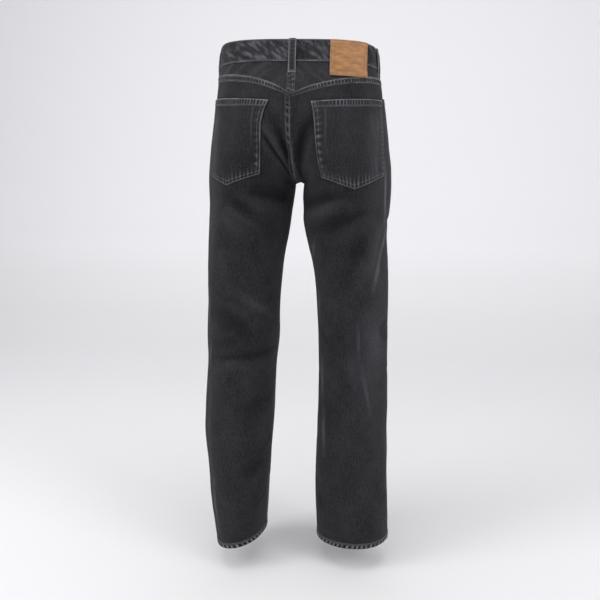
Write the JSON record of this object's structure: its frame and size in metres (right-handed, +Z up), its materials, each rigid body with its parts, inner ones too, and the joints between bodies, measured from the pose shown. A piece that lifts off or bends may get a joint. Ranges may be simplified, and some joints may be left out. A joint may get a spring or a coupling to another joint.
{
  "type": "straight leg jeans",
  "caption": "Black washed denim straight leg jeans in their worn shape with the legs apart, hollow, with back yoke, patch pockets, belt loops, plain leather waist patch and button fly front.",
  "frame": {"origin": "middle of the waist opening, 3.5 mm below the waistband's top edge at the centre back", "axes": "+X to the wearer's left, +Y to the wearer's back, +Z up"},
  "size_m": [0.4117, 0.2526, 1.0559],
  "materials": {
    "denim": "washed black cotton twill, matt, with paler worn seam edges",
    "leather": "natural tan, satin",
    "button_metal": "aged, satin"
  },
  "bodies": {
    "root": {"waistband": "denim", "yoke_left": "denim", "yoke_right": "denim", "back_left": "denim", "back_right": "denim", "front_left": "denim", "front_right": "denim", "pocket_facing_left": "denim", "pocket_facing_right": "denim", "coin_pocket": "denim", "back_pocket_left": "denim", "back_pocket_right": "denim", "fly": "denim", "belt_loop_centre_back": "denim", "belt_loop_left_side": "denim", "belt_loop_right_side": "denim", "belt_loop_left_front": "denim", "belt_loop_right_front": "denim", "leather_patch": "leather", "waist_button": "button_metal", "rivet_top_left": "button_metal", "rivet_top_right": "button_metal", "rivet_side_left": "button_metal", "rivet_side_right": "button_metal"}
  },
  "joints": []
}
